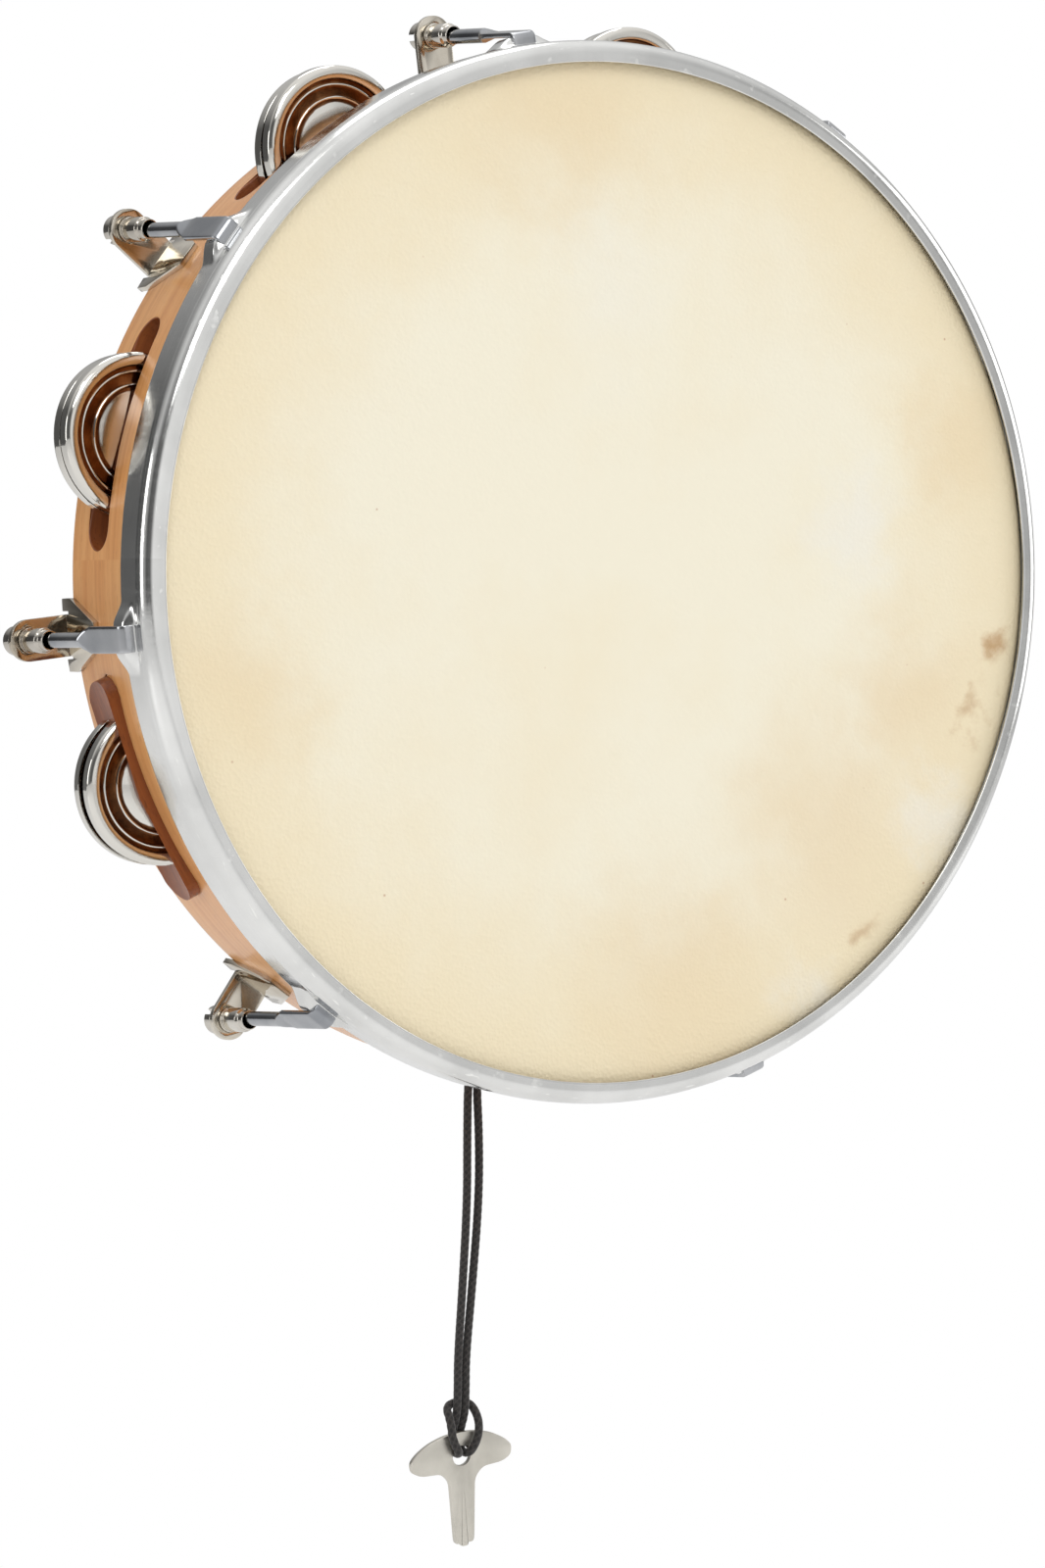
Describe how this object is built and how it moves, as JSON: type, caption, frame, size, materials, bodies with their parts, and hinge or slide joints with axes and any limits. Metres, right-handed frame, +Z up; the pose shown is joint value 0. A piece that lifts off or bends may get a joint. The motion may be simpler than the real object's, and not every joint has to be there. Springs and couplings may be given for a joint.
{
  "type": "tambourine",
  "caption": "Tunable wooden frame drum with a skin head, metal counterhoop on tension hooks, paired jingles in slots and a slotted-nut key on a cord.",
  "frame": {"origin": "mouth of the cord hole on the outside of the shell, in the middle of the hand grip", "axes": "+Z up with the drum held upright by its grip, +Y along the drum axis from the head towards the open back, +X to the right as seen from the front"},
  "size_m": [0.2843, 0.0556, 0.3894],
  "materials": {
    "wood": "clear satin lacquer over maple",
    "skin": "natural mottled calf skin",
    "hoop_wire": "plain steel",
    "hoop_chrome": "mirror plating",
    "hook_chrome": "bright plating",
    "bracket_nickel": "bright nickel plating",
    "nut_nickel": "bright nickel plating",
    "fastener_steel": "zinc plated",
    "pin_steel": "drawn wire",
    "jingle_nickel": "polished nickel silver",
    "cord_black": "round black braid",
    "key_steel": "satin stamped steel"
  },
  "bodies": {
    "drum": {"wood_shell": "wood", "drum_head": "skin", "bracket_1": "bracket_nickel", "bracket_2": "bracket_nickel", "bracket_3": "bracket_nickel", "bracket_4": "bracket_nickel", "bracket_5": "bracket_nickel", "bracket_6": "bracket_nickel", "bracket_7": "bracket_nickel", "bracket_8": "bracket_nickel", "stud_washers": "fastener_steel", "stud_nuts": "fastener_steel", "jingle_pins": "pin_steel", "key_cord": "cord_black", "cord_knot": "cord_black"},
    "counterhoop": {"counterhoop": "hoop_chrome", "flesh_hoop": "hoop_wire", "hook_1": "hook_chrome", "hook_2": "hook_chrome", "hook_3": "hook_chrome", "hook_4": "hook_chrome", "hook_5": "hook_chrome", "hook_6": "hook_chrome", "hook_7": "hook_chrome", "hook_8": "hook_chrome"},
    "tension_nut_1": {"tension_nut_1": "nut_nickel"},
    "tension_nut_2": {"tension_nut_2": "nut_nickel"},
    "tension_nut_3": {"tension_nut_3": "nut_nickel"},
    "tension_nut_4": {"tension_nut_4": "nut_nickel"},
    "tension_nut_5": {"tension_nut_5": "nut_nickel"},
    "tension_nut_6": {"tension_nut_6": "nut_nickel"},
    "tension_nut_7": {"tension_nut_7": "nut_nickel"},
    "tension_nut_8": {"tension_nut_8": "nut_nickel"},
    "jingle_1_front": {"jingle_1_front": "jingle_nickel"},
    "jingle_1_rear": {"jingle_1_rear": "jingle_nickel"},
    "jingle_2_front": {"jingle_2_front": "jingle_nickel"},
    "jingle_2_rear": {"jingle_2_rear": "jingle_nickel"},
    "jingle_3_front": {"jingle_3_front": "jingle_nickel"},
    "jingle_3_rear": {"jingle_3_rear": "jingle_nickel"},
    "jingle_4_front": {"jingle_4_front": "jingle_nickel"},
    "jingle_4_rear": {"jingle_4_rear": "jingle_nickel"},
    "jingle_5_front": {"jingle_5_front": "jingle_nickel"},
    "jingle_5_rear": {"jingle_5_rear": "jingle_nickel"},
    "jingle_6_front": {"jingle_6_front": "jingle_nickel"},
    "jingle_6_rear": {"jingle_6_rear": "jingle_nickel"},
    "jingle_7_front": {"jingle_7_front": "jingle_nickel"},
    "jingle_7_rear": {"jingle_7_rear": "jingle_nickel"},
    "tuning_key": {"tuning_key": "key_steel"}
  },
  "joints": [
    {"name": "hoop_draw", "type": "slide", "parent": "drum", "child": "counterhoop", "axis": [0, 1, 0], "range_m": [-0.001, 0.001]},
    {"name": "nut_turn_1", "type": "hinge", "parent": "drum", "child": "tension_nut_1", "pos_m": [0.06634, 0.0091, -0.00439], "axis": [0.0415, 0.993, -0.1109], "range_deg": [-515, 515]},
    {"name": "nut_turn_2", "type": "hinge", "parent": "drum", "child": "tension_nut_2", "pos_m": [0.14462, 0.0091, 0.06925], "axis": [0.1082, 0.993, -0.0482], "range_deg": [-515, 515]},
    {"name": "nut_turn_3", "type": "hinge", "parent": "drum", "child": "tension_nut_3", "pos_m": [0.14906, 0.0091, 0.171], "axis": [0.112, 0.993, 0.0385], "range_deg": [-515, 515]},
    {"name": "nut_turn_4", "type": "hinge", "parent": "drum", "child": "tension_nut_4", "pos_m": [0.08504, 0.0091, 0.2473], "axis": [0.0574, 0.993, 0.1036], "range_deg": [-515, 515]},
    {"name": "nut_turn_5", "type": "hinge", "parent": "drum", "child": "tension_nut_5", "pos_m": [-0.01358, 0.0091, 0.26116], "axis": [-0.0266, 0.993, 0.1154], "range_deg": [-515, 515]},
    {"name": "nut_turn_6", "type": "hinge", "parent": "drum", "child": "tension_nut_6", "pos_m": [-0.09615, 0.0091, 0.20546], "axis": [-0.097, 0.993, 0.0679], "range_deg": [-515, 515]},
    {"name": "nut_turn_7", "type": "hinge", "parent": "drum", "child": "tension_nut_7", "pos_m": [-0.11993, 0.0091, 0.10643], "axis": [-0.1173, 0.993, -0.0165], "range_deg": [-515, 515]},
    {"name": "nut_turn_8", "type": "hinge", "parent": "drum", "child": "tension_nut_8", "pos_m": [-0.06498, 0.0091, 0.01407], "axis": [-0.0704, 0.993, -0.0952], "range_deg": [-515, 515]},
    {"name": "spin_1_front", "type": "hinge", "parent": "drum", "child": "jingle_1_front", "pos_m": [0.10905, -0.01025, 0.04492], "axis": [-0.0392, 0.9986, 0.0347], "continuous": true},
    {"name": "spin_1_rear", "type": "hinge", "parent": "drum", "child": "jingle_1_rear", "pos_m": [0.10905, -0.00175, 0.04492], "axis": [-0.0392, 0.9986, 0.0347], "continuous": true},
    {"name": "spin_2_front", "type": "hinge", "parent": "drum", "child": "jingle_2_front", "pos_m": [0.1396, -0.01025, 0.12151], "axis": [0.0697, 0.9976, -0.0024], "continuous": true},
    {"name": "spin_2_rear", "type": "hinge", "parent": "drum", "child": "jingle_2_rear", "pos_m": [0.1396, -0.00175, 0.12151], "axis": [0.0697, 0.9976, -0.0024], "continuous": true},
    {"name": "spin_3_front", "type": "hinge", "parent": "drum", "child": "jingle_3_front", "pos_m": [0.11044, -0.01025, 0.205], "axis": [-0.053, 0.9976, -0.0453], "continuous": true},
    {"name": "spin_3_rear", "type": "hinge", "parent": "drum", "child": "jingle_3_rear", "pos_m": [0.11044, -0.00175, 0.205], "axis": [-0.053, 0.9976, -0.0453], "continuous": true},
    {"name": "spin_4_front", "type": "hinge", "parent": "drum", "child": "jingle_4_front", "pos_m": [0.03465, -0.01025, 0.24658], "axis": [0.0073, 0.9986, 0.0518], "continuous": true},
    {"name": "spin_4_rear", "type": "hinge", "parent": "drum", "child": "jingle_4_rear", "pos_m": [0.03465, -0.00175, 0.24658], "axis": [0.0073, 0.9986, 0.0518], "continuous": true},
    {"name": "spin_5_front", "type": "hinge", "parent": "drum", "child": "jingle_5_front", "pos_m": [-0.04966, -0.01025, 0.2275], "axis": [-0.0529, 0.9954, 0.0799], "continuous": true},
    {"name": "spin_5_rear", "type": "hinge", "parent": "drum", "child": "jingle_5_rear", "pos_m": [-0.04966, -0.00175, 0.2275], "axis": [-0.0529, 0.9954, 0.0799], "continuous": true},
    {"name": "spin_6_front", "type": "hinge", "parent": "drum", "child": "jingle_6_front", "pos_m": [-0.1007, -0.01025, 0.15528], "axis": [-0.0846, 0.9962, 0.0211], "continuous": true},
    {"name": "spin_6_rear", "type": "hinge", "parent": "drum", "child": "jingle_6_rear", "pos_m": [-0.1007, -0.00175, 0.15528], "axis": [-0.0846, 0.9962, 0.0211], "continuous": true},
    {"name": "spin_7_front", "type": "hinge", "parent": "drum", "child": "jingle_7_front", "pos_m": [-0.09244, -0.01025, 0.07324], "axis": [0.063, 0.9976, 0.03], "continuous": true},
    {"name": "spin_7_rear", "type": "hinge", "parent": "drum", "child": "jingle_7_rear", "pos_m": [-0.09244, -0.00175, 0.07324], "axis": [0.063, 0.9976, 0.03], "continuous": true},
    {"name": "key_swing", "type": "hinge", "parent": "drum", "child": "tuning_key", "pos_m": [-0.0002, 0.001, -0.0996], "axis": [0, 1, 0], "range_deg": [-12, 12]}
  ],
  "couplings": [
    {"joint": "nut_turn_1", "follows": "hoop_draw", "rad_per_m": -8976},
    {"joint": "nut_turn_2", "follows": "hoop_draw", "rad_per_m": -8976},
    {"joint": "nut_turn_3", "follows": "hoop_draw", "rad_per_m": -8976},
    {"joint": "nut_turn_4", "follows": "hoop_draw", "rad_per_m": -8976},
    {"joint": "nut_turn_5", "follows": "hoop_draw", "rad_per_m": -8976},
    {"joint": "nut_turn_6", "follows": "hoop_draw", "rad_per_m": -8976},
    {"joint": "nut_turn_7", "follows": "hoop_draw", "rad_per_m": -8976},
    {"joint": "nut_turn_8", "follows": "hoop_draw", "rad_per_m": -8976}
  ]
}
